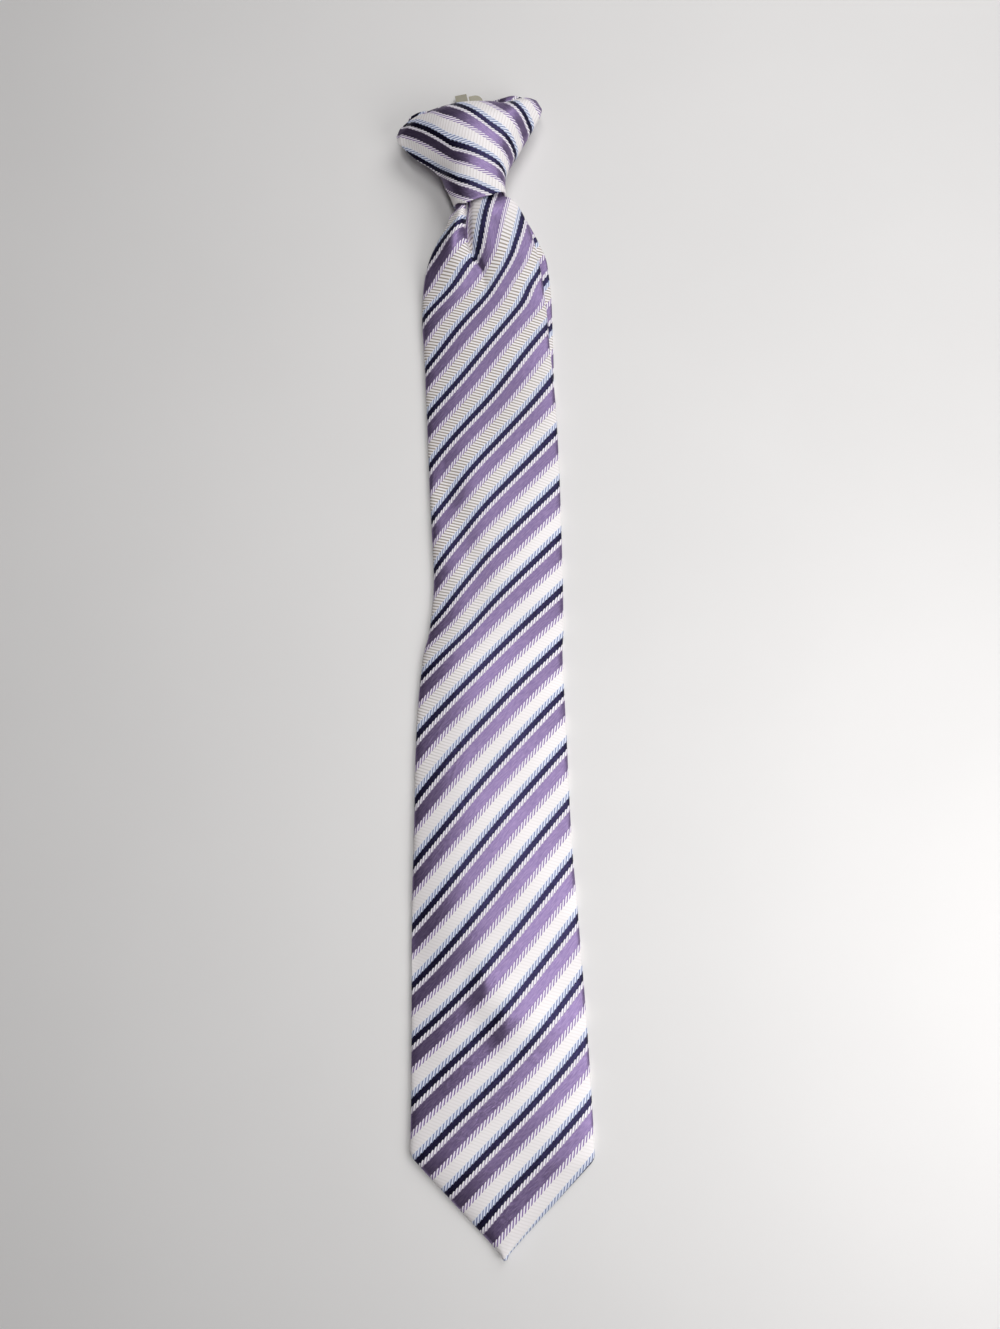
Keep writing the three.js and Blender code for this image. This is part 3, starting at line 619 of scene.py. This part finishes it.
def wave(tree, across, along, slant, turns):
    """Sine with so many turns in one repeat along the stripe, its crests slanted against the stripe."""
    lean = add(tree, "Math", {0: across, 1: slant, 2: along}, operation="MULTIPLY_ADD")
    phase = add(tree, "Math", {0: lean.outputs[0], 1: 2 * math.pi * turns}, operation="MULTIPLY")
    return add(tree, "Math", {0: phase.outputs[0]}, operation="SINE").outputs[0]


def fade(tree, place, change):
    """Share that changes evenly between two distances along a direction."""
    direction, (low, high), (before, after) = change
    distance = add(tree, "VectorMath", {0: place, 1: direction}, operation="DOT_PRODUCT").outputs["Value"]
    ends = {VALUE: distance, LOW: low, HIGH: high, TO_LOW: before, TO_HIGH: after}
    return add(tree, "MapRange", ends).outputs[0]


def striped_silk():
    """Woven silk and polyester twill: satin stripes and corded twist stripes on one cloth.

    The satin stripes are smooth and glossy, the twists show slanted dashes of thicker yarn, and the white
    stripe has fine ribs that run the other way.
    """
    found = bpy.data.materials.get("woven_striped_silk")
    if found:
        return found
    silk = bpy.context.scene.tie_cloth
    material, tree = new_material("woven_striped_silk")
    cloth = add(tree, "UVMap", uv_map=CLOTH_MAP).outputs[0]
    parts = add(tree, "SeparateXYZ", {0: cloth})
    across, along = parts.outputs[0], parts.outputs[1]
    body = add(tree, "TexCoord").outputs["Object"]

    # The twists' dashes, one for each twist pitch along the stripe, and the white stripe's ribs
    twist = wave(tree, across, along, TWIST_SLANT, silk.repeat / silk.twist_pitch)
    rib = wave(tree, across, along, RIB_SLANT, silk.repeat / silk.rib_pitch * math.sin(RIB_ANGLE))

    # The bands' edges step with the yarns, so each edge wavers by about 0.2 mm
    waver = add(tree, "Math", {0: twist, 1: EDGE_WAVER, 2: across}, operation="MULTIPLY_ADD")
    repeat_place = add(tree, "Math", {0: waver.outputs[0]}, operation="FRACT").outputs[0]
    grounds = [(start, getattr(silk, name)) for name, start in BANDS]
    threads = [(start, getattr(silk, name + "_thread")) for name, start in BANDS]
    ground = add(tree, "ValToRGB", {0: repeat_place}, stops=grounds)
    thread = add(tree, "ValToRGB", {0: repeat_place}, stops=threads)

    # How each band is woven: red for a twist, green for ribs and blue for satin
    kinds = {"twist": (1, 0, 0, 1), "white": (0, 1, 0, 1), "navy": (0, 0, 1, 1), "purple": (0, 0, 1, 1)}
    weaves = [(start, kinds[name.split("_")[-1]]) for name, start in BANDS]
    weave = add(tree, "ValToRGB", {0: repeat_place}, stops=weaves)
    corded, ribs, satin = add(tree, "SeparateColor", {0: weave.outputs[0]}).outputs

    # Satin grain: streaks about 0.5 mm wide and 3 mm long, drawn twice as coarse as the real yarns to show
    width, length = SATIN_STREAK
    stretched = add(tree, "Mapping", {0: cloth, 3: (silk.repeat / width, silk.repeat / length, 1.0)})
    grain = add(tree, "TexNoise", {"Vector": stretched.outputs[0], "Scale": 1.0, "Detail": 2.0}).outputs[0]

    # The ribs are plain in the upper left half of the blade, where the cloth is tight, and faint elsewhere
    rib_shares = {0: fade(tree, body, TIGHT_RIBS), 1: fade(tree, body, KNOT_RIBS)}
    rib_share = add(tree, "Math", rib_shares, operation="MULTIPLY").outputs[0]

    # How much of the thread's colour shows over the ground: dashes, ribs or streaks, each on its own bands
    dash = add(tree, "MapRange", {VALUE: twist, LOW: -0.3, HIGH: 0.15})
    ribbed = add(tree, "MapRange", {VALUE: rib, LOW: -0.1, HIGH: 0.9, TO_HIGH: rib_share})
    streak = add(tree, "MapRange", {VALUE: grain, LOW: 0.35, HIGH: 0.72})
    shown = 0.0
    for cover, bands in ((dash, corded), (ribbed, ribs), (streak, satin)):
        covered = {0: cover.outputs[0], 1: bands, 2: shown}
        shown = add(tree, "Math", covered, operation="MULTIPLY_ADD").outputs[0]
    colours = {SHARE: shown, FIRST: ground.outputs[0], SECOND: thread.outputs[0]}
    colour = add(tree, "Mix", colours, data_type="RGBA").outputs[MIXED]

    # Uneven dye and handling: a slow change of a few percent over some centimetres
    slow = add(tree, "TexNoise", {"Vector": body, "Scale": 1 / (DYE_CLOUD * MM), "Detail": 3.0})
    shade = add(tree, "MapRange", {VALUE: slow.outputs[0], LOW: 0.3, HIGH: 0.7, TO_LOW: 0.94, TO_HIGH: 1.04})

    # Painted shade: the satin on the left half of the knot is made darker in its colour, where it turns away
    # from the light
    painted_shade_share = satin
    for change in (LEFT_PAINTED_SHADE, KNOT_PAINTED_SHADE):
        painted_shade_share = add(tree, "Math", {0: painted_shade_share, 1: fade(tree, body, change)}, operation="MULTIPLY").outputs[0]
    painted_shade = add(tree, "MapRange", {VALUE: painted_shade_share, TO_LOW: 1.0, TO_HIGH: PAINTED_SHADE_BRIGHTNESS})
    # The uneven dye and the painted shade both multiply the colour
    for factor in (shade, painted_shade):
        product = {SHARE: 1.0, FIRST: colour, SECOND: factor.outputs[0]}
        colour = add(tree, "Mix", product, data_type="RGBA", blend_type="MULTIPLY").outputs[MIXED]

    # Relief: the corded dashes stand proud, the ribs less, and the satin is nearly flat
    relief = add(tree, "Math", {0: grain, 1: 0.35, 2: shown}, operation="MULTIPLY_ADD")
    bump = add(tree, "Bump", {"Height": relief.outputs[0], "Strength": 0.55, "Distance": 0.12 * MM})

    # Satin floats reflect like bundles of fine threads in the yarn's own colour, so part of the surface is
    # treated as metallic: that gives the stripes' change from light to dark where the cloth turns
    rough, metal = (
        add(tree, "MapRange", {VALUE: satin, TO_LOW: cord_value, TO_HIGH: satin_value}).outputs[0]
        for cord_value, satin_value in zip(CORD_FINISH, SATIN_FINISH)
    )
    inputs = {
        "Base Color": colour,
        "Roughness": rough,
        "Metallic": metal,
        "IOR": 1.5,
        "Specular IOR Level": 0.35,
        "Normal": bump.outputs[0],
    }
    shader = add(tree, "BsdfPrincipled", inputs)
    add(tree, "OutputMaterial", {"Surface": shader.outputs[0]})
    return material


def nickel_plate(bright, dull):
    """Nickel-plated stamped steel: warm grey, softly brushed, with faint cloudy tarnish."""
    material, tree = new_material("nickel_plated_steel")
    body = add(tree, "TexCoord")
    # Brush lines run along the clip, and the tarnish lies in cloudy patches
    gap, length = BRUSH_LINE
    closeness = (1 / (gap * MM), 1 / (length * MM), 1 / (gap * MM))
    lines = add(tree, "Mapping", {0: body.outputs["Object"], 3: closeness})
    brushed = add(tree, "TexNoise", {"Vector": lines.outputs[0], "Scale": 1.0, "Detail": 2.0})
    patches = {"Vector": body.outputs["Object"], "Scale": 1 / (TARNISH_CLOUD * MM), "Detail": 4.0}
    cloud = add(tree, "TexNoise", patches)
    tone = add(tree, "Mix", {SHARE: cloud.outputs[0], FIRST: dull, SECOND: bright}, data_type="RGBA")
    rough = add(tree, "MapRange", {VALUE: brushed.outputs[0], TO_LOW: 0.42, TO_HIGH: 0.62})
    bump = add(tree, "Bump", {"Height": brushed.outputs[0], "Strength": 0.25, "Distance": 0.02 * MM})
    inputs = {
        "Base Color": tone.outputs[MIXED],
        "Metallic": 1.0,
        "Roughness": rough.outputs[0],
        "Normal": bump.outputs[0],
    }
    shader = add(tree, "BsdfPrincipled", inputs)
    add(tree, "OutputMaterial", {"Surface": shader.outputs[0]})
    return material


def painted_table(colour):
    """Matt painted table top with a faint unevenness."""
    material, tree = new_material("painted_table")
    body = add(tree, "TexCoord")
    patches = {"Vector": body.outputs["Object"], "Scale": 1 / (PAINT_CLOUD * MM), "Detail": 5.0}
    cloud = add(tree, "TexNoise", patches)
    shade = add(tree, "MapRange", {VALUE: cloud.outputs[0], TO_LOW: 0.96, TO_HIGH: 1.03})
    product = {SHARE: 1.0, FIRST: colour, SECOND: shade.outputs[0]}
    tone = add(tree, "Mix", product, data_type="RGBA", blend_type="MULTIPLY")
    bump = add(tree, "Bump", {"Height": cloud.outputs[0], "Strength": 0.1, "Distance": 0.2 * MM})
    inputs = {"Base Color": tone.outputs[MIXED], "Roughness": 0.6, "Normal": bump.outputs[0]}
    shader = add(tree, "BsdfPrincipled", inputs)
    add(tree, "OutputMaterial", {"Surface": shader.outputs[0]})
    return material


def colour_property(name, description, default):
    """A colour that the user can change, given as sRGB hex."""
    return bpy.props.FloatVectorProperty(
        name=name, description=description, default=linear(default), subtype="COLOR", size=4, min=0, max=1
    )


def length_property(name, description, default):
    """A length in millimetres that the user can change."""
    settings = {"name": name, "description": description, "default": default}
    return bpy.props.FloatProperty(**settings, subtype="DISTANCE_CAMERA")


def power_property(name, description, default):
    """A light's power in watts that the user can change."""
    settings = {"name": name, "description": description, "default": default}
    return bpy.props.FloatProperty(**settings, min=0, subtype="POWER")


class TieCloth(bpy.types.PropertyGroup):
    """Sizes in millimetres and colours of the striped cloth and of the clip's plate."""

    repeat: length_property("Repeat", "Width of one repeat of the stripes, mm", 17.6)
    twist_pitch: length_property("Twist pitch", "Distance between two dashes of a twist stripe, mm", 1.9)
    rib_pitch: length_property("Rib pitch", "Distance between two ribs of the white stripe, mm", 1.35)
    lap: length_property("Lap", "Step where one back flap lies over the other, mm", 0.5)
    ripple: length_property("Ripple", "Height of the slow waves of the resting cloth, mm", 0.55)
    pleat_depth: length_property("Pleat depth", "Depth of the dimple under the knot, mm", 4.8)
    pleat_width: length_property("Pleat width", "Half width of that dimple, mm", 0.85)
    lobe_rise: length_property("Lobe rise", "Swelling on both sides of the dimple, mm", 3.2)
    navy: colour_property("Navy", "Dark satin stripe", "#25213d")
    navy_thread: colour_property("Navy thread", "Lit yarns of the dark stripe", "#3a345c")
    white_twist: colour_property("White twist", "Gaps of the white twist", "#bdb0ca")
    white_twist_thread: colour_property("White twist thread", "Dashes of the white twist", "#fffdff")
    purple: colour_property("Purple", "Wide satin stripe", "#7d6b94")
    purple_thread: colour_property("Purple thread", "Lit yarns of the wide stripe", "#9684ab")
    lilac_twist: colour_property("Lilac twist", "Gaps of the lilac twist", "#8a6dac")
    lilac_twist_thread: colour_property("Lilac twist thread", "Dashes of the lilac twist", "#fff9ff")
    white: colour_property("White", "Wide ribbed stripe", "#faf5f6")
    white_thread: colour_property("White rib", "Shaded side of its ribs", "#9b8f81")
    blue_twist: colour_property("Blue twist", "Gaps of the light blue twist", "#8893bb")
    blue_twist_thread: colour_property("Blue twist thread", "Dashes of the light blue twist", "#eef2ff")
    nickel: colour_property("Nickel", "Bright parts of the clip's plate", "#bdb8a9")
    tarnish: colour_property("Tarnish", "Dull parts of the clip's plate", "#a29e8e")


class TieStage(bpy.types.PropertyGroup):
    """The camera, the table and the light."""

    camera_place: bpy.props.FloatVectorProperty(
        name="Camera",
        description="Place of the camera, in metres",
        default=(0.00249, -0.089, 0.4533),
        subtype="XYZ",
    )
    camera_turn: bpy.props.FloatVectorProperty(
        name="Camera turn",
        description="Rotation of the camera about X, Y and Z",
        default=(math.radians(9), 0.0, math.radians(-1.5247)),
        subtype="EULER",
    )
    lens: length_property("Lens", "Focal length over a 36 mm wide picture, mm", 37.8)
    table: colour_property("Table", "Colour of the table", "#e9e7e6")
    room: colour_property("Room", "Colour of the room's light", "#f4f3f6")
    window: power_property("Window", "Power of the light on the right, W", 1.38)
    sky: power_property("Sky", "Power of the light beyond the knot, W", 4.1)
    ceiling: power_property("Ceiling", "Power of the light overhead, W", 3.2)
    fill: bpy.props.FloatProperty(name="Fill", description="Strength of the room's light", default=0.015)


class TIE_OT_stage(bpy.types.Operator):
    """Makes the table, the camera and the soft lights"""

    bl_idname = "tie.stage"
    bl_label = "Table, camera and light"

    def execute(self, context):
        scene = context.scene
        wanted = scene.tie_stage
        scene.view_settings.view_transform = "Standard"
        mesh = bpy.data.meshes.new("table")
        reach = TABLE_REACH
        corners = [(-reach, -reach, 0), (reach, -reach, 0), (reach, reach, 0), (-reach, reach, 0)]
        mesh.from_pydata(corners, [], [(0, 1, 2, 3)])
        table = bpy.data.objects.new("table", mesh)
        table.data.materials.append(painted_table(wanted.table))
        scene.collection.objects.link(table)

        camera = bpy.data.objects.new("camera", bpy.data.cameras.new("camera"))
        camera.data.sensor_fit = "HORIZONTAL"
        camera.data.sensor_width = 36.0
        camera.data.lens = wanted.lens
        camera.data.clip_start = 0.01
        camera.location = wanted.camera_place
        camera.rotation_euler = wanted.camera_turn
        scene.collection.objects.link(camera)
        scene.camera = camera

        for name, place, width, length in LIGHTS:
            light = bpy.data.objects.new(name, bpy.data.lights.new(name, "AREA"))
            light.data.shape = "ELLIPSE"
            light.data.size = width
            light.data.size_y = length
            light.data.energy = getattr(wanted, name)
            light.location = place
            light.rotation_euler = (-light.location).to_track_quat("-Z", "Y").to_euler()
            light.visible_camera = False
            scene.collection.objects.link(light)

        world = bpy.data.worlds.new("room")
        world.use_nodes = True
        background = world.node_tree.nodes["Background"]
        background.inputs["Color"].default_value = wanted.room
        background.inputs["Strength"].default_value = wanted.fill
        scene.world = world
        return {"FINISHED"}


class TIE_OT_blade(bpy.types.Operator):
    """Makes the wide front blade with its dimple, dents and rolled edges"""

    bl_idname = "tie.blade"
    bl_label = "Blade"

    def execute(self, context):
        cloth = context.scene.tie_cloth
        neck_end = BLADE_ROWS[-1, 0] * TIE_LENGTH
        spans = [(3, 6), (44, 44), (380, 150), (MOUTH_PLACE - 8, 110), (MOUTH_PLACE + 2, 14), (neck_end, 12)]
        distance = stations(0.0, *spans)[:, None]
        at = distance / TIE_LENGTH
        across, on_face = ring_places(128, 44)
        left, right, gather, skew, low_left, low_right, arch, thick = read(BLADE_ROWS, at)
        blunt = 2 * TIP_BLUNT / BLADE_WIDTH
        tip = pointed(distance, TIP_HEIGHT, blunt)
        tip_right = pointed(distance, TIP_HEIGHT_RIGHT, blunt)
        half = 0.5 * CLOTH_THICKNESS * thick
        left = mix(-0.5 * BLADE_WIDTH * left * tip, NECK_MIDDLE - NECK_HALF, gather)
        right = mix(0.5 * BLADE_WIDTH * right * tip_right, NECK_MIDDLE + NECK_HALF, gather)
        x = mix(left, right, 0.5 + 0.5 * across)
        low = BLADE_NECK * mix(low_left, low_right, 0.5 + 0.5 * across)
        # The arch is 1 - |across| cubed, to the power of one and a half
        height = low + half + BLADE_ARCH * arch * (1 - np.abs(across) ** 3) ** 1.5
        lift = pleat_lift(at, x, left, right, cloth.pleat_depth, cloth.pleat_width, cloth.lobe_rise)
        lift = lift + dent_lift(at, across)
        lift = lift + ripple(x, distance, cloth.ripple) * ease((MOUTH_PLACE - distance) / RIPPLE_FADE)
        points, u = band(distance, skew, left, right, half, height, lift, across, on_face, cloth.lap)
        points[..., 2] = np.maximum(points[..., 2], LEAST_HEIGHT)
        cloth_map = blade_cloth(u, points[..., 0] - TIP[0], points[..., 1], cloth.repeat)
        make_piece("blade_cloth", points, cloth_map, "blade")
        return {"FINISHED"}


class TIE_OT_tail(bpy.types.Operator):
    """Makes the narrow tail, which shows beside the blade below the knot"""

    bl_idname = "tie.tail"
    bl_label = "Tail"

    def execute(self, context):
        cloth = context.scene.tie_cloth
        start = TAIL_ROWS[0, 0] * TAIL_LENGTH
        spans = [(0, 10), (0.2 * TAIL_LENGTH, 70), (0.5 * TAIL_LENGTH, 50), (TAIL_LENGTH - 20, 50)]
        down = stations(start, *spans, (TAIL_LENGTH - 2, 24), (TAIL_LENGTH, 6))[:, None]
        across, on_face = ring_places(64, 28)
        middle, wide, gather, skew, low = read(TAIL_ROWS, down / TAIL_LENGTH)
        tip = pointed(TAIL_LENGTH - down, TAIL_TIP_HEIGHT, 2 * TIP_BLUNT / TAIL_WIDTH)
        middle = mix(0.5 * BLADE_WIDTH * middle, NECK_MIDDLE, gather)
        half_width = mix(0.5 * TAIL_WIDTH * wide * tip, NECK_HALF - TAIL_EASE, gather)
        half = 0.5 * TAIL_THICKNESS + 0 * down
        height = TAIL_NECK * low + half
        left, right = middle - half_width, middle + half_width
        distance = MOUTH_PLACE - down
        lift = 0 * distance * across
        points, u = band(distance, skew, left, right, half, height, lift, across, on_face, 0.0)
        cloth_map = tail_cloth(u, points[..., 1], cloth.repeat)
        make_piece("tail_cloth", points, cloth_map, "tail")
        return {"FINISHED"}


class TIE_OT_knot(bpy.types.Operator):
    """Makes the wrapped knot and the second layer that rolls out over its top"""

    bl_idname = "tie.knot"
    bl_label = "Knot"

    def execute(self, context):
        cloth = context.scene.tie_cloth
        across, on_face = ring_places(150, 60)
        up = stations(0.0, (0.85, 90), (1.0, 24))[:, None]
        outer, outer_u = knot_ring(up, across, on_face)
        inner, inner_u = knot_ring(up[::-1], across, on_face, inset=1.0)
        turn = np.linspace(0, 1, 9)[1:-1][:, None]
        roll = RIM_ROLL * np.sin(np.pi * turn)
        top, top_u = knot_ring(1 + 0 * turn, across, on_face, inset=turn, past=CREST_ROLL * roll)
        lip, lip_u = knot_ring(0 * turn, across, on_face, inset=1 - turn, past=-roll)
        rings = np.concatenate([outer, top, inner, lip])
        u = np.concatenate([outer_u, top_u, inner_u, lip_u])
        make_piece(
            "knot_wrap_cloth",
            knot_to_tie(rings),
            knot_cloth(u, rings[..., 1], cloth.repeat),
            "knot_wrap",
            endless=True,
        )

        inside = {"inset": 1.0, "clearance": FOLD_GAP}
        up = stations(FOLD_START, (1.0, 16))[:, None]
        body, body_u = knot_ring(up, across, on_face, **inside)
        turn = np.linspace(0, 0.5 * np.pi, 12)[1:][:, None]
        peek = read(PEEK_ROWS, across)[0]
        flatten = (1 - FOLD_FLAT) + FOLD_FLAT * np.cos(turn)
        rolled = {"past": FOLD_REACH * peek * np.sin(turn), "flatten": flatten}
        roll, roll_u = knot_ring(1 + 0 * turn, across, on_face, **inside, **rolled)
        rings = np.concatenate([body, roll])
        u = np.concatenate([body_u, roll_u])
        make_piece(
            "knot_fold_cloth",
            knot_to_tie(rings),
            fold_cloth(u, rings[..., 1], cloth.repeat),
            "knot_fold",
        )
        return {"FINISHED"}


class TIE_OT_clip(bpy.types.Operator):
    """Gives the stamped collar clip its nickel plate"""

    bl_idname = "tie.clip"
    bl_label = "Collar clip"

    def execute(self, context):
        cloth = context.scene.tie_cloth
        plate = nickel_plate(cloth.nickel, cloth.tarnish)
        for name in ("clip_base", "clip_lever", "clip_pin"):
            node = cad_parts[name]
            for slot in node.material_slots:
                slot.material = plate
        return {"FINISHED"}


class TIE_PT_panel(bpy.types.Panel):
    """Lists the necktie's pieces"""

    bl_idname = "TIE_PT_panel"
    bl_label = "Necktie"
    bl_space_type = "VIEW_3D"
    bl_region_type = "UI"
    bl_category = "Necktie"

    def draw(self, context):
        for operator in OPERATORS:
            self.layout.operator(operator.bl_idname)


OPERATORS = (TIE_OT_stage, TIE_OT_blade, TIE_OT_tail, TIE_OT_knot, TIE_OT_clip)
CLASSES = (TieCloth, TieStage, *OPERATORS, TIE_PT_panel)


def register():
    for cls in CLASSES:
        bpy.utils.register_class(cls)
    bpy.types.Scene.tie_cloth = bpy.props.PointerProperty(type=TieCloth)
    bpy.types.Scene.tie_stage = bpy.props.PointerProperty(type=TieStage)


def unregister():
    del bpy.types.Scene.tie_stage
    del bpy.types.Scene.tie_cloth
    for cls in reversed(CLASSES):
        bpy.utils.unregister_class(cls)


def main():
    register()
    bpy.ops.tie.stage()
    bpy.ops.tie.blade()
    bpy.ops.tie.tail()
    bpy.ops.tie.knot()
    bpy.ops.tie.clip()


if __name__ == "__main__":
    main()
